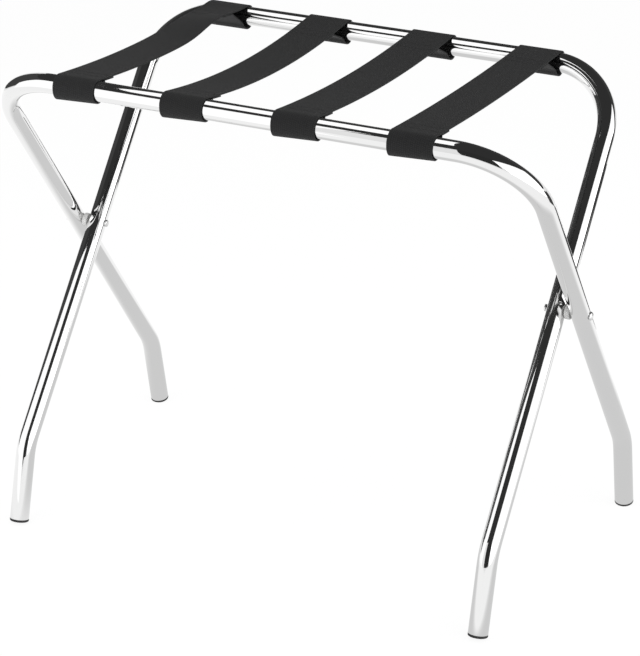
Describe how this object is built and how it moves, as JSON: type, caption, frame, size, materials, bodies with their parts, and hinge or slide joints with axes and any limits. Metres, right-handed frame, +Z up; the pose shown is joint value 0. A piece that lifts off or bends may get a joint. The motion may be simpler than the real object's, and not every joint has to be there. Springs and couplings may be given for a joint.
{
  "type": "folding luggage rack",
  "caption": "Folding luggage rack: two crossed chrome tube frames that hinge at side pivots, joined at the top by black webbing straps, on plugged feet.",
  "frame": {"origin": "on the floor, midway between the four feet, under the middle of the rack", "axes": "+X to the right along the rails, +Y to the back, +Z up; the outer frame's rail is at the front and its feet are at the back"},
  "size_m": [0.66, 0.3964, 0.547],
  "materials": {
    "chrome_tube": "bright chrome plate on bent steel tube",
    "plated_steel": "bright plated steel",
    "grey_nylon": "satin moulded nylon",
    "black_rubber": "matt moulded rubber",
    "black_webbing": "woven webbing with fine crosswise ribs"
  },
  "bodies": {
    "outer": {"outer_frame": "chrome_tube", "foot_tip_rear_left": "black_rubber", "foot_tip_rear_right": "black_rubber", "pivot_bolt_left": "plated_steel", "pivot_bolt_right": "plated_steel", "pivot_spacer_left": "grey_nylon", "pivot_spacer_right": "grey_nylon", "pivot_cap_nut_left": "plated_steel", "pivot_cap_nut_right": "plated_steel", "strap_1": "black_webbing", "strap_2": "black_webbing", "strap_3": "black_webbing", "strap_4": "black_webbing"},
    "inner": {"inner_frame": "chrome_tube", "foot_tip_front_left": "black_rubber", "foot_tip_front_right": "black_rubber"}
  },
  "joints": [
    {"name": "fold", "type": "hinge", "parent": "outer", "child": "inner", "pos_m": [0, 0, 0.30904], "axis": [1, 0, 0], "range_deg": [0, 68], "deforming": ["strap_1", "strap_2", "strap_3", "strap_4"]}
  ]
}
